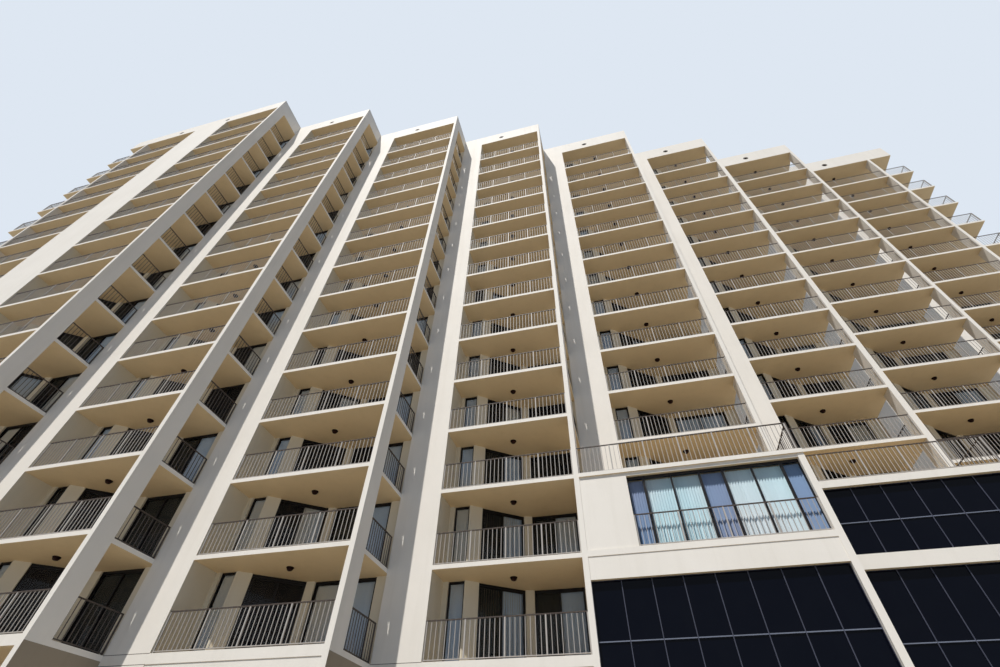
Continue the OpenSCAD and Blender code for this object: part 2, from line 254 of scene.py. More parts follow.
def mesh_object(name, points, edges=(), faces=()):
    data = bpy.data.meshes.new(name)
    data.from_pydata([tuple(p) for p in points], list(edges), list(faces))
    data.update()
    piece = bpy.data.objects.new(name, data)
    bpy.context.scene.collection.objects.link(piece)
    return piece


def give_values(piece, name, kind, values):
    """Keeps one value for each point of a mesh."""
    attribute = piece.data.attributes.new(name, kind, "POINT")
    if kind == "FLOAT_VECTOR":
        attribute.data.foreach_set("vector", [x for value in values for x in value])
    else:
        attribute.data.foreach_set("value", list(values))


def settle(piece):
    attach(piece, BODY)


class Bars:
    """Upright and level bars with square ends, collected for one piece."""

    def __init__(self):
        self.places = []
        self.sizes = []
        self.turns = []

    def add(self, place, size, turn=0.0):
        self.places.append(place)
        self.sizes.append(size)
        self.turns.append(turn)

    def on(self, pane, s0, s1, z0, z1, depth, out=0.0):
        """A bar on a pane, from s0 to s1 along it and from z0 to z1."""
        place = pane.point((s0 + s1) / 2, (z0 + z1) / 2, out)
        self.add(place, (s1 - s0, depth, z1 - z0), pane.turn)

    def frame(self, pane, s0, s1, z0, z1, width, depth, out=0.0, head=None):
        """Four bars round a part of a pane."""
        head = width if head is None else head
        self.on(pane, s0, s0 + width, z0, z1, depth, out)
        self.on(pane, s1 - width, s1, z0, z1, depth, out)
        self.on(pane, s0 + width, s1 - width, z0, z0 + width, depth, out)
        self.on(pane, s0 + width, s1 - width, z1 - head, z1, depth, out)

    def piece(self, name, material, slot, pattern=None):
        """The bars as one mesh, made by the copying tree from a small solid."""
        seeds = mesh_object(name, self.places)
        give_values(seeds, "size", "FLOAT_VECTOR", self.sizes)
        give_values(seeds, "turn", "FLOAT", self.turns)
        solid = pattern or unit_block()
        run_tree(seeds, copying_tree(), {"Pattern": solid, "Material": material})
        bpy.data.objects.remove(solid)
        settle(seeds)


def unit_block():
    """A block of one metre each way about the origin."""
    block = mesh_object("pattern", [])
    shape = bmesh.new()
    bmesh.ops.create_cube(shape, size=1.0)
    shape.to_mesh(block.data)
    shape.free()
    return block


def turned_solid(profile, sides, ring=False):
    """A solid turned about the upright axis from (radius, height) pairs, top to bottom.

    Its ends are closed, or as a ring its last pair joins its first."""
    points = []
    faces = []
    for radius, height in profile:
        for k in range(sides):
            angle = 2 * math.pi * k / sides
            points.append((radius * math.cos(angle), radius * math.sin(angle), height))
    rounds = len(profile)
    for turn in range(rounds if ring else rounds - 1):
        upper = turn * sides
        lower = (turn + 1) % rounds * sides
        for k in range(sides):
            after = (k + 1) % sides
            faces.append((upper + k, lower + k, lower + after, upper + after))
    if not ring:
        last = (rounds - 1) * sides
        faces.append(tuple(range(sides)))
        faces.append(tuple(reversed(range(last, last + sides))))
    return mesh_object("pattern", points, faces=faces)


# Node trees

def kept(collection):
    """Builds a tree or a material once and gives the same one afterwards."""
    def keep(make):
        def ready():
            found = getattr(bpy.data, collection)
            if make.__name__ not in found:
                make(make.__name__)
            return found[make.__name__]
        return ready
    return keep


class Nodes:
    """Short ways to add and join the nodes of a tree."""

    def __init__(self, tree):
        self.tree = tree

    def node(self, kind, settings=None, **inputs):
        """Adds a node, with its settings and what goes into its inputs."""
        made = self.tree.nodes.new(kind)
        for key, value in (settings or {}).items():
            setattr(made, key, value)
        for label, value in inputs.items():
            self.feed(made, label.replace("_", " "), value)
        return made

    def feed(self, node, label, value):
        """Puts a plain value, a socket or another node's first output into an input, found by
        label or number."""
        if isinstance(label, int):
            socket = node.inputs[label]
        else:
            socket = next(s for s in node.inputs if s.enabled and s.name.lower() == label.lower())
        if isinstance(value, bpy.types.Node):
            value = next(s for s in value.outputs if s.enabled)
        if isinstance(value, bpy.types.NodeSocket):
            self.tree.links.new(value, socket)
        elif socket.type == "RGBA" and len(value) == 3:
            socket.default_value = (*value, 1.0)
        else:
            socket.default_value = value

    def math(self, operation, *values, kind="ShaderNodeMath"):
        made = self.node(kind, {"operation": operation})
        for k, value in enumerate(values):
            self.feed(made, k, value)
        return made


def add_sockets(tree, way, *sockets):
    """Gives a tree its named inputs or outputs, each as its name, kind and any default."""
    for label, kind, *default in sockets:
        made = tree.interface.new_socket(label, in_out=way, socket_type="NodeSocket" + kind)
        for value in default:
            made.default_value = value


class Tree(Nodes):
    """A geometry node tree with named inputs."""

    def __init__(self, name, *inputs):
        super().__init__(bpy.data.node_groups.new(name, "GeometryNodeTree"))
        add_sockets(self.tree, "INPUT", ("Geometry", "Geometry"), *inputs)
        add_sockets(self.tree, "OUTPUT", ("Geometry", "Geometry"))
        self.source = self.tree.nodes.new("NodeGroupInput")

    def given(self, label):
        return self.source.outputs[label]

    def value(self, name, kind):
        return self.node("GeometryNodeInputNamedAttribute", {"data_type": kind}, Name=name)

    def end(self, instances):
        """Makes the copies real and gives them the material."""
        real = self.node("GeometryNodeRealizeInstances", Geometry=instances)
        self.node("NodeGroupOutput", Geometry=self.node(
            "GeometryNodeSetMaterial", Geometry=real, Material=self.given("Material")))


def run_tree(piece, group, values):
    """Puts a tree on a piece, reads the result as a plain mesh, and takes the tree off again."""
    modifier = piece.modifiers.new("copies", "NODES")
    modifier.node_group = group
    for item in group.interface.items_tree:
        if item.in_out == "INPUT" and item.name in values:
            modifier[item.identifier] = values[item.name]
    ready = piece.evaluated_get(bpy.context.evaluated_depsgraph_get())
    made = bpy.data.meshes.new_from_object(ready)
    piece.modifiers.clear()
    piece.data = made
    made.name = piece.name


@kept("node_groups")
def copying_tree(name):
    """A copy of the pattern at every point, sized and turned by the point's own values."""
    tree = Tree(name, ("Pattern", "Object"), ("Material", "Material"))
    pattern = tree.node("GeometryNodeObjectInfo", Object=tree.given("Pattern"))
    turn = tree.node("ShaderNodeCombineXYZ", Z=tree.value("turn", "FLOAT"))
    rotation = tree.node("FunctionNodeEulerToRotation", Euler=turn)
    tree.end(tree.node("GeometryNodeInstanceOnPoints", Points=tree.given("Geometry"),
                       Instance=pattern.outputs["Geometry"], Rotation=rotation,
                       Scale=tree.value("size", "FLOAT_VECTOR")))


@kept("node_groups")
def hanging_tree(name):
    """Bars or slats that hang from each edge of the mesh, as long as its points' drop."""
    tree = Tree(name, ("Pitch", "Float", 0.045), ("Width", "Float", 0.05),
                ("Thickness", "Float", 0.002), ("Turn", "Float", 0.5),
                ("Unevenness", "Float", 0.1), ("Ends", "Bool", True), ("Seed", "Int", 5),
                ("Material", "Material"))
    lines = tree.node("GeometryNodeMeshToCurve", Mesh=tree.given("Geometry"))
    long = tree.node("GeometryNodeSplineLength")
    gaps = tree.math("ROUND", tree.math("DIVIDE", long, tree.given("Pitch")))
    count = tree.node("FunctionNodeFloatToInt",
                      Float=tree.math("ADD", tree.math("MAXIMUM", gaps, 1.0), 1.0))
    spaced = tree.node("GeometryNodeResampleCurve", {"mode": "COUNT"}, Curve=lines, Count=count)
    tangent = tree.node("GeometryNodeInputTangent")
    facing = tree.node("FunctionNodeAlignRotationToVector", {"axis": "X"}, Vector=tangent)
    stray = tree.node("FunctionNodeRandomValue", {"data_type": "FLOAT"}, Min=-1.0, Max=1.0,
                      Seed=tree.given("Seed"))
    wobble = tree.math("MULTIPLY", stray, tree.given("Unevenness"))
    angle = tree.node("ShaderNodeCombineXYZ", Z=tree.math("ADD", tree.given("Turn"), wobble))
    twist = tree.node("FunctionNodeEulerToRotation", Euler=angle)
    turned = tree.node("FunctionNodeRotateRotation", {"rotation_space": "LOCAL"},
                       Rotation=facing, Rotate_By=twist)
    between = tree.math("NOT", tree.node("GeometryNodeCurveEndpointSelection"),
                        kind="FunctionNodeBooleanMath")
    wanted = tree.math("OR", between, tree.given("Ends"), kind="FunctionNodeBooleanMath")
    bar = tree.node("GeometryNodeMeshCube", Size=(1, 1, 1))
    hung = tree.node("GeometryNodeTransform", Geometry=bar, Translation=(0, 0, -0.5))
    size = tree.node("ShaderNodeCombineXYZ", X=tree.given("Width"), Y=tree.given("Thickness"),
                     Z=tree.value("drop", "FLOAT"))
    tree.end(tree.node("GeometryNodeInstanceOnPoints", Points=spaced, Selection=wanted,
                       Instance=hung, Rotation=turned, Scale=size))


def hang(name, heads, material, slot, **values):
    """Bars or slats hung from lines: each head is its two ends and the drop below it."""
    points = [p for *ends, _ in heads for p in ends]
    edges = [(2 * k, 2 * k + 1) for k in range(len(heads))]
    piece = mesh_object(name, points, edges)
    give_values(piece, "drop", "FLOAT", [drop for *_, drop in heads for _ in range(2)])
    run_tree(piece, hanging_tree(), {"Material": material, **values})
    settle(piece)


# Materials

# How squarely a surface faces a way to count as facing it
FACING = 0.5
# Coats of paint: how far patches and streaks darken them, and the scale of their grain
WALL_COAT = (0.05, 0.06, 150.0)
RAIL_COAT = (0.12, 0.10, 60.0)
METAL_COAT = (0.15, 0.12, 90.0)


class Shading(Nodes):
    """The nodes of a material, a world or a shader group."""

    def mix(self, factor, first, second, blend="MIX"):
        return self.node("ShaderNodeMix", {"data_type": "RGBA", "blend_type": blend},
                         Factor=factor, A=first, B=second)

    def step(self, value, low, high):
        """0 below low, 1 above high, and even between them."""
        return self.node("ShaderNodeMapRange", Value=value, From_Min=low, From_Max=high)

    def place(self):
        return self.node("ShaderNodeTexCoord").outputs["Object"]

    def part(self, vector, axis):
        return self.node("ShaderNodeSeparateXYZ", Vector=vector).outputs[axis]

    def height(self):
        return self.part(self.place(), "Z")

    def faces(self, way):
        """1 where the surface faces the given way, such as +X."""
        sign, axis = way
        part = self.part(self.node("ShaderNodeNewGeometry").outputs["Normal"], axis)
        if sign == "-":
            return self.math("LESS_THAN", part, -FACING)
        return self.math("GREATER_THAN", part, FACING)


class Finish(Shading):
    """A material with its Principled shader."""

    def __init__(self, name):
        self.material = bpy.data.materials.new(name)
        self.material.use_nodes = True
        super().__init__(self.material.node_tree)
        self.shader = next(n for n in self.tree.nodes if n.type == "BSDF_PRINCIPLED")

    def set(self, **values):
        """Puts values or sockets into the shader's own sockets."""
        for key, value in values.items():
            self.feed(self.shader, key.replace("_", " "), value)

    def bump(self, height, strength, distance):
        self.set(Normal=self.node("ShaderNodeBump", Height=height, Strength=strength,
                                  Distance=distance))

    def painted(self, tone, coat):
        """Puts a coat of paint on and gives its outputs."""
        patches, streaks, grain = coat
        made = self.node("ShaderNodeGroup", {"node_tree": weathered_paint()}, Colour=tone,
                         Patches=patches, Streaks=streaks, Grain_scale=grain)
        self.set(Base_Color=made)
        return made.outputs

    def plastered(self, tone, relief=0.0):
        """Painted plaster, with more relief where it is given."""
        coat = self.painted(tone, WALL_COAT)
        self.set(Roughness=coat["Roughness"], Specular_IOR_Level=0.5)
        self.bump(self.math("ADD", coat["Height"], relief), strength=0.35, distance=0.004)


@kept("node_groups")
def weathered_paint(name):
    """Weathered paint: broad patches, rain streaks and a fine grain."""
    group = bpy.data.node_groups.new(name, "ShaderNodeTree")
    add_sockets(group, "INPUT", ("Colour", "Color"), ("Patches", "Float", 0.06),
                ("Streaks", "Float", 0.08), ("Grain scale", "Float", 160.0))
    add_sockets(group, "OUTPUT", ("Colour", "Color"), ("Roughness", "Float"),
                ("Height", "Float"))
    draw = Shading(group)
    given = group.nodes.new("NodeGroupInput").outputs
    place = draw.place()
    patches = draw.node("ShaderNodeTexNoise", Vector=place, Scale=0.9, Detail=4.0, Roughness=0.6)
    long = draw.node("ShaderNodeMapping", Vector=place, Scale=(5.0, 5.0, 0.28))
    streaks = draw.node("ShaderNodeTexNoise", Vector=long, Scale=1.0, Detail=5.0,
                        Roughness=0.65)
    grain = draw.node("ShaderNodeTexNoise", Vector=place, Scale=given["Grain scale"], Detail=2.0)
    broad = draw.math("MULTIPLY", draw.step(patches, 0.35, 0.75), given["Patches"])
    runs = draw.math("MULTIPLY", draw.step(streaks, 0.50, 0.80), given["Streaks"])
    fine = draw.math("MULTIPLY", draw.math("SUBTRACT", grain, 0.5), 0.08)
    loss = draw.math("ADD", draw.math("ADD", broad, runs), fine)
    keep = draw.math("SUBTRACT", 1.0, loss)
    tone = draw.node("ShaderNodeCombineColor", Red=keep, Green=draw.math("POWER", keep, 1.06),
                     Blue=draw.math("POWER", keep, 1.25))
    draw.node("NodeGroupOutput", Height=grain,
              Colour=draw.mix(1.0, given["Colour"], tone, "MULTIPLY"),
              Roughness=draw.math("ADD", 0.62, draw.math("MULTIPLY", streaks, 0.12)))


def stucco(finish, wall):
    """Painted stucco, with the warm tan of the undersides on what faces down: partly a tan paint,
    partly painted warm shade.
    """
    # Faces that face down take the undersides' tan, partly painted warm shade
    finish.plastered(finish.mix(finish.faces("-Z"), wall, colours().ceiling))


@kept("materials")
def cream_stucco(name):
    stucco(Finish(name), colours().wall)


# Piers inside the balconies, in stucco darkened as painted shade
@kept("materials")
def balcony_stucco(name):
    stucco(Finish(name), colours().inner_wall)


# Sides of the foot storey, in stucco darkened as painted shade
@kept("materials")
def foot_stucco(name):
    stucco(Finish(name), colours().foot)


@kept("materials")
def column_stucco(name):
    """The columns, whose right faces take the foot's painted shade below the lowest floor."""
    finish = Finish(name)
    below = finish.math("LESS_THAN", finish.height(), lowest_floor()[1])
    # Right faces below the lowest floor, which face away from the sun, take painted shade
    foot = finish.math("MULTIPLY", finish.faces("+X"), below)
    stucco(finish, finish.mix(foot, colours().wall, colours().foot))


@kept("materials")
def front_stucco(name):
    """Walls whose right faces stand inside the balconies and take painted shade there, with
    painted shadow lines at the joints of the lowest floor.
    """
    finish = Finish(name)
    # Right faces, which stand inside the balconies, take painted shade
    tone = finish.mix(finish.faces("+X"), colours().wall, colours().inner_wall)
    height = finish.height()
    # Painted shadow lines where the joints of the lowest floor are
    for level in lowest_floor():
        apart = finish.math("ABSOLUTE", finish.math("SUBTRACT", height, level))
        joint = finish.math("LESS_THAN", apart, sizes().joint_w / 2)
        tone = finish.mix(joint, tone, colours().joint)
    stucco(finish, tone)


@kept("materials")
def band_stucco(name):
    """The roof band, with a dark collar round each drain hole."""
    finish = Finish(name)
    front = finish.faces("-Y")
    across = finish.part(finish.place(), "X")
    height = finish.height()
    tone = colours().wall
    for rim in drain_holes():
        middle = centre(rim)
        aside = finish.math("SUBTRACT", across, middle.x)
        up = finish.math("SUBTRACT", height, middle.z)
        squares = finish.math("ADD", finish.math("MULTIPLY", aside, aside),
                              finish.math("MULTIPLY", up, up))
        collar = finish.math("LESS_THAN", squares, sizes().collar_r ** 2)
        tone = finish.mix(finish.math("MULTIPLY", front, collar), tone, colours().joint)
    stucco(finish, tone)


def slab_finish(name, deck):
    """Wall paint on the edges, a warm tan below that is partly paint and partly painted warm
    shade, the deck's paint above and gravel on the roofs.
    """
    finish = Finish(name)
    roof_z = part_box("roof_band_returns")[0].z
    above = finish.faces("+Z")
    high_up = finish.math("GREATER_THAN", finish.height(), roof_z - SAME_LEVEL)
    roof = finish.math("MULTIPLY", above, high_up)
    # The gravel darkens towards each stone's edge: painted shade in the gaps between stones
    gaps = finish.node("ShaderNodeTexVoronoi", Vector=finish.place(), Scale=26.0)
    gravel = finish.mix(finish.step(gaps, 0.1, 0.6), colours().roofing, colours().roof_gaps)
    # Faces that face down take the undersides' tan, partly painted warm shade
    tone = finish.mix(finish.faces("-Z"), colours().wall, colours().ceiling)
    tone = finish.mix(above, tone, deck)
    tone = finish.mix(roof, tone, gravel)
    finish.plastered(tone, relief=finish.math("MULTIPLY", roof, gaps))


@kept("materials")
def slab_paint(name):
    slab_finish(name, colours().deck)


@kept("materials")
def terrace_paint(name):
    slab_finish(name, colours().terrace)


def lowest_floor():
    """The top of the foot storey's front walls, and of the lowest floor edges over them."""
    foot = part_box("base_front_walls")[1].z
    tops = [limits(corners)[1].z for corners in solids("floor_edges")]
    return foot, min(top for top in tops if top > foot)


def rail_levels():
    """The lowest top rail's underside and thickness, and the storey height."""
    rails = sorted({tuple(levels(corners)[-2:]) for corners in solids("front_railings")})
    (underside, top), (above, _) = rails[:2]
    return underside, top - underside, above - underside


def rail_finish(name, paint):
    """Painted rails, with a darker tone on the top ones: partly their darker paint, partly painted
    shade of their undersides.
    """
    finish = Finish(name)
    underside, thickness, storey = rail_levels()
    above = finish.math("SUBTRACT", finish.height(), underside - SAME_POINT)
    storeys = finish.math("FRACT", finish.math("DIVIDE", above, storey))
    on_top = finish.math("LESS_THAN", finish.math("MULTIPLY", storeys, storey),
                         thickness + 2 * SAME_POINT)
    # The top rails take the darker tone, partly painted shade
    coat = finish.painted(finish.mix(on_top, paint, colours().handrail), RAIL_COAT)
    finish.set(Roughness=0.5, Specular_IOR_Level=0.3)
    finish.bump(coat["Height"], strength=0.15, distance=0.001)


@kept("materials")
def rail_paint(name):
    rail_finish(name, colours().railing)


# The side railings, in the railings' paint darkened as painted shade
@kept("materials")
def side_rail_paint(name):
    rail_finish(name, colours().side_railing)


def pane_finish(name, tone, opacity, level, dust):
    """Tinted glass with a faint film of dust."""
    finish = Finish(name)
    cloud = finish.node("ShaderNodeTexNoise", Vector=finish.place(), Scale=3.0, Detail=5.0)
    film = finish.math("MULTIPLY", finish.step(cloud, 0.45, 0.9), dust)
    finish.set(Base_Color=finish.mix(film, tone, colours().dust),
               Roughness=finish.math("ADD", 0.03, film), Alpha=opacity, Specular_IOR_Level=level)


@kept("materials")
def tinted_glass(name):
    pane_finish(name, colours().glass, opacity=0.07, level=1.0, dust=0.10)


# Nearly opaque dark rear panes: they keep light out of the rooms and stand in as painted shade of
# the rooms behind
@kept("materials")
def rear_tint(name):
    pane_finish(name, colours().glass, opacity=0.94, level=0.5, dust=0.06)


@kept("materials")
def clear_glass(name):
    pane_finish(name, colours().clear_glass, opacity=0.015, level=1.0, dust=0.04)


@kept("materials")
def navy_glass(name):
    pane_finish(name, colours().dark_glass, opacity=1.0, level=0.08, dust=0.006)


def metal_finish(name, tone, rough, level=0.25):
    """Painted metal of one tone."""
    finish = Finish(name)
    coat = finish.painted(tone, METAL_COAT)
    finish.set(Roughness=rough, Specular_IOR_Level=level)
    finish.bump(coat["Height"], strength=0.08, distance=0.0008)


@kept("materials")
def bronze(name):
    metal_finish(name, colours().bronze, rough=0.42)


@kept("materials")
def mullion_metal(name):
    metal_finish(name, colours().mullion, rough=0.38)


# The transoms, in the mullions' metal lightened as a painted highlight
@kept("materials")
def transom_metal(name):
    metal_finish(name, colours().transom, rough=0.38)


@kept("materials")
def lamp_metal(name):
    metal_finish(name, colours().lamp, rough=0.5, level=0.08)


@kept("materials")
def lamp_lens(name):
    finish = Finish(name)
    ribs = finish.node("ShaderNodeTexNoise", Vector=finish.place(), Scale=220.0)
    finish.set(Base_Color=finish.mix(ribs, colours().lens, colours().lens_ribs), Roughness=0.4,
               Specular_IOR_Level=0.15)
    finish.bump(ribs, strength=0.3, distance=0.001)


def slat_finish(name, cool, warm, weave=0.2):
    """Slats whose tone drifts from window to window, with a fine upright weave."""
    finish = Finish(name)
    place = finish.place()
    drift = finish.node("ShaderNodeTexNoise", Vector=place, Scale=0.45, Detail=1.0)
    fine = finish.node("ShaderNodeMapping", Vector=place, Scale=(260.0, 260.0, 6.0))
    threads = finish.node("ShaderNodeTexNoise", Vector=fine, Scale=1.0)
    tone = finish.mix(finish.step(drift, 0.42, 0.58), cool, warm)
    loss = finish.math("MULTIPLY", threads, 0.8 * weave)
    finish.set(Base_Color=finish.mix(loss, tone, (0, 0, 0)), Roughness=0.75,
               Specular_IOR_Level=weave)
    if weave:
        finish.bump(threads, strength=weave, distance=0.0006)


@kept("materials")
def blind_slats(name):
    slat_finish(name, colours().cool_slat, colours().warm_slat)


# Dark slats that stand in as painted shade of the rooms behind the glass
@kept("materials")
def dark_slats(name):
    slat_finish(name, colours().dark_slat, colours().black_slat, weave=0.0)


@kept("materials")
def white_slats(name):
    slat_finish(name, colours().white_slat, colours().bright_slat)


@kept("materials")
def grey_slats(name):
    slat_finish(name, colours().grey_slat, colours().mauve_slat)


def dress(nodes, material):
    """Gives CAD nodes their finish. Their meshes stay as they are."""
    for node in nodes:
        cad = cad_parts[node]
        cad.data.materials.clear()
        cad.data.materials.append(material)


# Operators, one for each group of like pieces

class BLOCK_OT_walls(bpy.types.Operator):
    """Gives the walls, piers, columns and bands their painted stucco, with painted shade inside
    the balconies and on the foot storey's sides
    """
    bl_idname = "block.walls"
    bl_label = "Walls"

    def execute(self, context):
        dress(["front_walls", "side_walls"], front_stucco())
        # The piers inside the balconies take painted shade
        dress(["near_piers", "far_piers"], balcony_stucco())
        # The foot storey's sides take painted shade
        dress(["base_side_walls"], foot_stucco())
        dress(["corner_columns"], column_stucco())
        dress(["roof_band"], band_stucco())
        dress(["end_walls", "rear_piers", "rear_panels", "rear_returns", "roof_band_returns",
               "base_spandrels", "base_front_walls", "base_back_walls", "podium_side_walls",
               "podium_front_wall", "podium_front_bands"], cream_stucco())
        return {"FINISHED"}


class BLOCK_OT_floors(bpy.types.Operator):
    """Gives the floors their painted edges and ceilings, decks and roofing"""
    bl_idname = "block.floors"
    bl_label = "Floors"

    def execute(self, context):
        dress(["floors_odd", "floors_even", "floor_edges", "end_balconies"], slab_paint())
        dress(["podium_decks", "podium_floors", "podium_ground_floors"], terrace_paint())
        return {"FINISHED"}


def panel_heads(node, along):
    """The underside of the top rail over each panel, from post to post, and the drop below it."""
    heads = []
    for corners in solids(node):
        foot, head = levels(corners)[2:4]
        ends = levels([p for p in corners if abs(p.z - foot) < 10 * SAME_POINT], along)
        half_post = (ends[0] - limits(corners)[0][along]) / 2
        for start, end in zip(ends[::2], ends[1::2]):
            line = []
            for place in (start - half_post, end + half_post):
                point = centre(corners)
                point[along] = place
                point.z = head
                line.append(point)
            heads.append((*line, head - foot))
    return heads


class BLOCK_OT_railings(bpy.types.Operator):
    """Paints the railings and fills each panel with balusters"""
    bl_idname = "block.railings"
    bl_label = "Railings"

    def execute(self, context):
        s = sizes()
        for name, node, along, paint in (
                ("front_balusters", "front_railings", 0, rail_paint()),
                # The side railings take painted shade
                ("side_balusters", "side_railings", 1, side_rail_paint())):
            dress([node], paint)
            hang(name, panel_heads(node, along), paint, "railing", Pitch=s.baluster_pitch,
                 Width=s.baluster_w, Thickness=s.baluster_w, Turn=0.0, Unevenness=0.0, Ends=False)
        return {"FINISHED"}


# Shares of a frame's depth: the casing, the handles and how far they stand off their leaf
CASING_D = 1.4
HANDLE_D = 0.3
HANDLE_OUT = 0.35
# The doors' handles: half their width as a share of a bar's, and their foot and length as
# shares of the pane's height
HANDLE_HALF_W = 0.2
HANDLE_FOOT = 0.42
HANDLE_LONG = 0.1


def sliding_pair(bars, pane):
    """An outer frame and two leaves, the right one on the outer track."""
    s = sizes()
    rim = s.frame_w / 2
    leaf_d = s.frame_d / 2
    track = leaf_d / 2
    low = pane.bottom + rim
    high = pane.top - s.head_h
    middle = pane.w / 2
    bars.frame(pane, 0, pane.w, pane.bottom, pane.top, rim, s.frame_d * CASING_D, head=s.head_h)
    bars.frame(pane, rim, middle + rim, low, high, s.frame_w, leaf_d, -track)
    bars.frame(pane, middle - rim, pane.w - rim, low, high, s.frame_w, leaf_d, track)
    half = s.frame_w * HANDLE_HALF_W
    foot = low + pane.h * HANDLE_FOOT
    bars.on(pane, middle - half, middle + half, foot, foot + pane.h * HANDLE_LONG,
            s.frame_d * HANDLE_D, track + s.frame_d * HANDLE_OUT)


class BLOCK_OT_balcony_glazing(bpy.types.Operator):
    """Puts frames round the windows and sliding doors of the balconies"""
    bl_idname = "block.balcony_glazing"
    bl_label = "Balcony glazing"

    def execute(self, context):
        s = sizes()
        dress(["balcony_windows", "slanting_doors", "far_doors"], tinted_glass())
        bars = Bars()
        for pane in panes("balcony_windows"):
            bars.frame(pane, 0, pane.w, pane.bottom, pane.top, s.frame_w, s.frame_d, head=s.head_h)
        bars.piece("window_frames", bronze(), "glass")
        for name, node in (("slanting_door_frames", "slanting_doors"),
                           ("far_door_frames", "far_doors")):
            bars = Bars()
            for pane in panes(node):
                sliding_pair(bars, pane)
            bars.piece(name, bronze(), "glass")
        return {"FINISHED"}


def rear_windows():
    """The openings between the rear panels, as (x0, x1, z0, z1, outer face)."""
    stacks = {}
    for corners in solids("rear_panels"):
        low, high = limits(corners)
        stacks.setdefault((round(low.x, DIGITS), round(high.y, DIGITS)), []).append((low, high))
    openings = []
    for _, stack in sorted(stacks.items()):
        stack.sort(key=lambda pair: pair[0].z)
        for (_, below), (above, _) in zip(stack, stack[1:]):
            openings.append((above.x, below.x, below.z, above.z, below.y))
    return openings


class BLOCK_OT_rear_glazing(bpy.types.Operator):
    """Puts sashes and sills into the rear windows"""
    bl_idname = "block.rear_glazing"
    bl_label = "Rear glazing"

    def execute(self, context):
        s = sizes()
        # The rear panes are nearly opaque, as painted shade of the rooms behind
        dress(["rear_glass"], rear_tint())
        wall_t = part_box("rear_piers")[1].y - max(p.y for p in solids("rear_glass")[-1])
        bars = Bars()
        sills = Bars()
        depth = s.frame_d
        width = s.rear_sash_w
        for x0, x1, z0, z1, face in rear_windows():
            y = face - wall_t + depth / 2
            middle = (x0 + x1) / 2
            for x in (x0 + width / 2, middle, x1 - width / 2):
                bars.add((x, y, (z0 + z1) / 2), (width, depth, z1 - z0))
            for z in (z0 + width / 2, z1 - width / 2):
                for a, b in ((x0 + width, middle - width / 2), (middle + width / 2, x1 - width)):
                    bars.add(((a + b) / 2, y, z), (b - a, depth, width))
            sills.add((middle, face - wall_t / 2 + depth / 2, z0 + width / 4),
                      (x1 - x0, wall_t - depth, width / 2))
        bars.piece("rear_window_frames", bronze(), "glass")
        sills.piece("rear_window_sills", cream_stucco(), "stucco")
        return {"FINISHED"}


class BLOCK_OT_podium_glazing(bpy.types.Operator):
    """Divides the podium's dark glass with mullions and transoms"""
    bl_idname = "block.podium_glazing"
    bl_label = "Podium glazing"

    def execute(self, context):
        s = sizes()
        dress(["podium_glass"], navy_glass())
        sheets = sorted(panes("podium_glass"), key=lambda pane: (pane.start.x, pane.bottom))
        bars = Bars()
        transoms = Bars()
        half = s.mullion_w / 2
        for pane in sheets:
            level = s.low_transom if pane.bottom < s.tall_transom else s.high_transom
            if pane is sheets[0]:
                level = s.tall_transom
            bars.frame(pane, 0, pane.w, pane.bottom, pane.top, half, s.mullion_d)
            count = round(pane.w / s.podium_panel_w)
            for k in range(count):
                left = pane.w * k / count
                right = pane.w * (k + 1) / count
                transoms.on(pane, left + half, right - half, level - half, level + half,
                            s.mullion_d)
                if k > 0:
                    bars.on(pane, left - half, left + half, pane.bottom + half, pane.top - half,
                            s.mullion_d)
        bars.piece("podium_mullions", mullion_metal(), "dark_glass")
        # The transoms take a painted highlight
        transoms.piece("podium_transoms", transom_metal(), "dark_glass")
        return {"FINISHED"}


def blind(pane, start, end, inset, head_h, gap):
    """A head for blinds behind a pane, from start to end along it."""
    top = pane.top - head_h
    a = pane.point(start + inset, top, -gap)
    b = pane.point(end - inset, top, -gap)
    return (a, b, top - pane.bottom - sizes().frame_w / 2)


def hang_blinds(name, heads, material, width, turn):
    """Upright slats of the given width, turned by an angle in radians."""
    s = sizes()
    hang(name, heads, material, "glass", Pitch=s.slat_pitch, Width=width, Thickness=s.slat_t,
         Turn=turn)


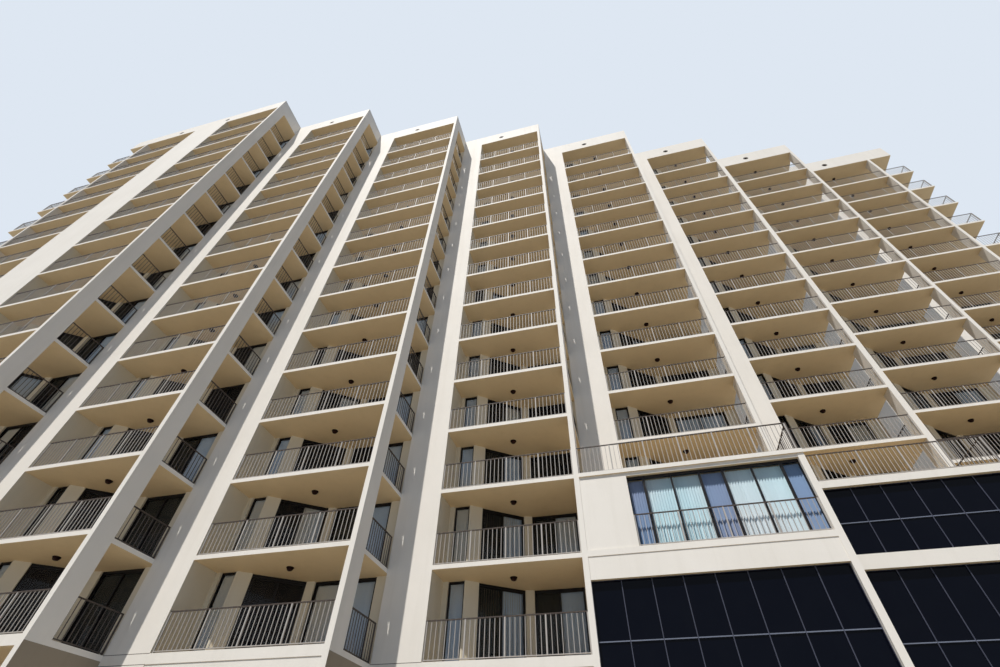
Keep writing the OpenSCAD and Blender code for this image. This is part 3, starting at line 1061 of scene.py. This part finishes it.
class BLOCK_OT_wide_window(bpy.types.Operator):
    """Divides the podium's wide window into fixed and sliding panels, with blinds behind them"""
    bl_idname = "block.wide_window"
    bl_label = "Wide window"

    def execute(self, context):
        s = sizes()
        dress(["wide_window"], clear_glass())
        pane, = panes("wide_window")
        side = (pane.w - 4 * s.sliding_w - s.middle_w) / 2
        edges = [0.0]
        for width in (side, s.sliding_w, s.sliding_w, s.middle_w, s.sliding_w, s.sliding_w, side):
            edges.append(edges[-1] + width)
        sliding = (1, 2, 4, 5)
        meeting = (2, 5)
        rim = s.frame_w / 2
        handle_d = s.frame_d / 2
        handle_z = pane.bottom + s.handle_h
        bars = Bars()
        bars.frame(pane, 0, pane.w, pane.bottom, pane.top, rim, s.frame_d * CASING_D,
                   head=s.wide_head_h)
        for k, edge in enumerate(edges[1:-1], start=1):
            half = rim if k in meeting else s.post_w / 2
            bars.on(pane, edge - half, edge + half, pane.bottom + rim, pane.top - s.wide_head_h,
                    s.frame_d)
            if k not in meeting:
                bars.on(pane, edge - half / 2, edge + half / 2, handle_z, handle_z + s.handle_long,
                        handle_d, (s.frame_d + handle_d) / 2)
        bars.piece("wide_window_frame", bronze(), "dark_glass")

        white = []
        grey = []
        for k, (start, end) in enumerate(zip(edges, edges[1:])):
            heads = white if k in sliding else grey
            heads.append(blind(pane, start, end, s.wide_slat_w / 2, s.wide_head_h,
                               s.wide_blind_gap))
        hang_blinds("wide_window_blinds", white, white_slats(), s.wide_slat_w, turn=-0.65)
        hang_blinds("fixed_panel_blinds", grey, grey_slats(), s.wide_slat_w, turn=-0.5)
        return {"FINISHED"}


# The chance of a pale blind behind each leaf, from the left; the others get dark slats as painted
# shade of the rooms behind
PALE_CHANCES = {"balcony_windows": (0.8,), "slanting_doors": (0.12, 0.5),
                "far_doors": (0.12, 0.55)}
BLIND_SEED = 11


class BLOCK_OT_blinds(bpy.types.Operator):
    """Hangs pale blinds behind the balcony windows and doors, and dark slats as painted shade of
    the rooms behind the others
    """
    bl_idname = "block.blinds"
    bl_label = "Blinds"

    def execute(self, context):
        s = sizes()
        draw = random.Random(BLIND_SEED)
        pale = []
        dark = []
        for node, chances in PALE_CHANCES.items():
            leaves = len(chances)
            inset = (s.frame_w + s.slat_w / 2) / leaves
            for pane in panes(node):
                for leaf, chance in enumerate(chances):
                    start = pane.w * leaf / leaves
                    head = blind(pane, start, start + pane.w / leaves, inset, s.head_h,
                                 s.blind_gap)
                    # A leaf without a pale blind gets dark slats as painted shade of its room
                    (pale if draw.random() < chance else dark).append(head)
        hang_blinds("pale_blinds", pale, blind_slats(), s.slat_w, turn=0.3)
        hang_blinds("dark_blinds", dark, dark_slats(), s.slat_w, turn=0.2)
        return {"FINISHED"}


def drain_holes():
    """The rim points on the front face of each drain hole through the roof band."""
    holes = []
    for corners in solids("roof_band"):
        low, high = limits(corners)
        rim = [p for p in corners if p.y - low.y < SAME_POINT
               and low.z + SAME_POINT < p.z < high.z - SAME_POINT]
        for p in sorted(rim, key=lambda p: p.x):
            if holes and abs(p.x - holes[-1][-1].x) < (high.z - low.z) / 4:
                holes[-1].append(p)
            else:
                holes.append([p])
    return holes


SLEEVE_SIDES = 24


class BLOCK_OT_drains(bpy.types.Operator):
    """Lines the drain holes of the roof band with dark sleeves, painted shade of the holes'
    insides, and grates
    """
    bl_idname = "block.drains"
    bl_label = "Drains"

    def execute(self, context):
        s = sizes()
        low, high = limits(solids("roof_band")[0])
        deep = high.y - low.y
        sleeves = Bars()
        grates = Bars()
        for rim in drain_holes():
            low, high = limits(rim)
            middle = centre(rim)
            radius = (high.z - low.z) / 2
            sleeves.add(middle, (radius, deep, radius))
            inner = radius - s.sleeve_t
            for k in range(s.grate_bars):
                up = inner * ((k + 0.5) / s.grate_bars * 2 - 1)
                reach = math.sqrt(inner ** 2 - up ** 2)
                place = middle + Vector((0, s.grate_d / 2 + s.sleeve_t, up))
                grates.add(place, (2 * reach, s.grate_d, s.sleeve_t))
        bore = 1 - s.sleeve_t / radius
        sleeve = turned_solid([(1, 0), (1, -1), (bore, -1), (bore, 0)], SLEEVE_SIDES, ring=True)
        sleeve.data.transform(Matrix.Rotation(math.pi / 2, 4, "X"))
        # Dark sleeves stand in as painted shade inside the drain holes
        sleeves.piece("drain_sleeves", lamp_metal(), "railing", sleeve)
        grates.piece("drain_grates", lamp_metal(), "railing")
        return {"FINISHED"}


# A lamp's outlines from the ceiling down, as shares of its radius and height
LAMP_BODY = ((1.0, 0.0), (1.0, -0.2), (0.86, -0.3), (0.8, -0.62), (0.7, -0.66))
LAMP_LENS = ((0.7, -0.6), (0.64, -0.86), (0.4, -0.98), (0.12, -1.0))
LAMP_SIDES = 20


class BLOCK_OT_lamps(bpy.types.Operator):
    """Fixes a round lamp to the ceiling of every balcony"""
    bl_idname = "block.lamps"
    bl_label = "Ceiling lamps"

    def execute(self, context):
        s = sizes()
        edges = [limits(corners) for corners in solids("floor_edges")]
        low, high = limits(solids("corner_columns")[0])
        column_w = high.x - low.x
        bodies = Bars()
        lenses = Bars()
        for pane in panes("far_doors"):
            door_x = pane.point(pane.w / 2, pane.top).x
            low, high = next(pair for pair in edges if pair[0].x < door_x < pair[1].x)
            middle = (low.x + high.x) / 2
            shift = column_w / 2 if door_x < middle else -column_w / 2
            for copies in (bodies, lenses):
                copies.add((middle + shift, low.y + s.lamp_y, pane.top),
                           (s.lamp_r, s.lamp_r, s.lamp_h))
        bodies.piece("ceiling_lamps", lamp_metal(), "railing", turned_solid(LAMP_BODY, LAMP_SIDES))
        lenses.piece("lamp_lenses", lamp_lens(), "glass", turned_solid(LAMP_LENS, LAMP_SIDES))
        return {"FINISHED"}


# Stage

# How far the floor reaches each way
FLOOR_REACH = 400.0
# How much light the sky gives, and how much of the floor's colour lights the object
SKY_STRENGTH = 0.29
FLOOR_BOUNCE = 0.56
# The suns' ways, strengths, softness in degrees and tones
KEY_SUN = ((0.835, 2.4, -4.1), 3.85, 0.7, (1.0, 0.975, 0.935))
REAR_SUN = ((0.15, -2.4, -1.9), 1.1, 12.0, (0.95, 0.97, 1.0))
# The photograph's viewpoint, worked out from points on the balconies
CAMERA_PLACE = (2.1740, -10.6660, 0.7354)
CAMERA_LENS = 16.807
CAMERA_SENSOR = 36.0
CAMERA_RIGHT = Vector((0.96906, 0.24644, 0.01387))
CAMERA_UP = Vector((0.17243, -0.71612, 0.67634))
CAMERA_SHIFT = (-0.00281, -0.01293)
CAMERA_REACH = 500.0


def shown_rays(finish):
    """1 for the rays that should see the pale background: camera, glossy and transmission."""
    rays = finish.node("ShaderNodeLightPath").outputs
    seen = finish.math("MAXIMUM", rays["Is Camera Ray"], rays["Is Glossy Ray"])
    return finish.math("MAXIMUM", seen, rays["Is Transmission Ray"])


@kept("materials")
def pale_floor(name):
    finish = Finish(name)
    cloud = finish.node("ShaderNodeTexNoise", Vector=finish.place(), Scale=0.2, Detail=3.0)
    pale = finish.mix(finish.math("MULTIPLY", cloud, 0.05), colours().ground, (0, 0, 0))
    dim = tuple(FLOOR_BOUNCE * part for part in colours().ground)
    finish.set(Base_Color=finish.mix(shown_rays(finish), dim, pale), Roughness=0.9,
               Specular_IOR_Level=0.1)


def light_world(scene):
    """Soft light from the sky, and a pale background where it is seen."""
    world = bpy.data.worlds.new("sky")
    world.use_nodes = True
    scene.world = world
    finish = Shading(world.node_tree)
    seen = shown_rays(finish)
    strength = finish.math("ADD", SKY_STRENGTH, finish.math("MULTIPLY", seen, 1 - SKY_STRENGTH))
    background = next(n for n in world.node_tree.nodes if n.type == "BACKGROUND")
    finish.feed(background, "Color", finish.mix(seen, colours().skylight, colours().sky))
    finish.feed(background, "Strength", strength)


def add_sun(name, way, strength, softness, tone):
    """A sun lamp that shines along the given way."""
    lamp = bpy.data.lights.new(name, "SUN")
    lamp.energy = strength
    lamp.angle = math.radians(softness)
    lamp.color = tone
    sun = bpy.data.objects.new(name, lamp)
    sun.rotation_euler = Vector(way).to_track_quat("-Z", "Y").to_euler()
    bpy.context.scene.collection.objects.link(sun)


def add_camera(scene):
    data = bpy.data.cameras.new("camera")
    data.sensor_width = CAMERA_SENSOR
    data.lens = CAMERA_LENS
    data.shift_x, data.shift_y = CAMERA_SHIFT
    data.clip_end = CAMERA_REACH
    camera = bpy.data.objects.new("camera", data)
    back = CAMERA_RIGHT.cross(CAMERA_UP)
    turn = Matrix((CAMERA_RIGHT, CAMERA_UP, back)).transposed()
    camera.matrix_world = Matrix.Translation(CAMERA_PLACE) @ turn.to_4x4()
    scene.collection.objects.link(camera)
    scene.camera = camera


class BLOCK_OT_stage(bpy.types.Operator):
    """Sets the pale floor, the lights and the camera"""
    bl_idname = "block.stage"
    bl_label = "Stage"

    def execute(self, context):
        scene = bpy.context.scene
        scene.view_settings.view_transform = "Standard"
        reach = FLOOR_REACH
        floor = mesh_object("floor", [(-reach, -reach, 0), (reach, -reach, 0), (reach, reach, 0),
                                      (-reach, reach, 0)], faces=[(0, 1, 2, 3)])
        floor.data.materials.append(pale_floor())
        light_world(scene)
        add_sun("key_light", *KEY_SUN)
        add_sun("rear_light", *REAR_SUN)
        add_camera(scene)
        return {"FINISHED"}


# Panel and registration

class BLOCK_PT_panel(bpy.types.Panel):
    """Sizes, colours and steps of the apartment block"""
    bl_idname = "BLOCK_PT_panel"
    bl_label = "Apartment Block"
    bl_space_type = "VIEW_3D"
    bl_region_type = "UI"
    bl_category = "Block"

    def draw(self, context):
        layout = self.layout
        for group in (context.scene.block_sizes, context.scene.block_colours):
            column = layout.column(align=True)
            for name in group.__annotations__:
                column.prop(group, name)
        column = layout.column(align=True)
        for step in STEPS:
            column.operator(step.bl_idname)


STEPS = (BLOCK_OT_walls, BLOCK_OT_floors, BLOCK_OT_railings, BLOCK_OT_balcony_glazing,
         BLOCK_OT_rear_glazing, BLOCK_OT_podium_glazing, BLOCK_OT_wide_window, BLOCK_OT_blinds,
         BLOCK_OT_drains, BLOCK_OT_lamps, BLOCK_OT_stage)
CLASSES = (BLOCK_PG_sizes, BLOCK_PG_colours, *STEPS, BLOCK_PT_panel)


def register():
    for kind in CLASSES:
        bpy.utils.register_class(kind)
    bpy.types.Scene.block_sizes = bpy.props.PointerProperty(type=BLOCK_PG_sizes)
    bpy.types.Scene.block_colours = bpy.props.PointerProperty(type=BLOCK_PG_colours)


def unregister():
    del bpy.types.Scene.block_sizes
    del bpy.types.Scene.block_colours
    for kind in reversed(CLASSES):
        bpy.utils.unregister_class(kind)


def main():
    register()
    bpy.ops.block.walls()
    bpy.ops.block.floors()
    bpy.ops.block.railings()
    bpy.ops.block.balcony_glazing()
    bpy.ops.block.rear_glazing()
    bpy.ops.block.podium_glazing()
    bpy.ops.block.wide_window()
    bpy.ops.block.blinds()
    bpy.ops.block.drains()
    bpy.ops.block.lamps()
    bpy.ops.block.stage()


if __name__ == "__main__":
    main()
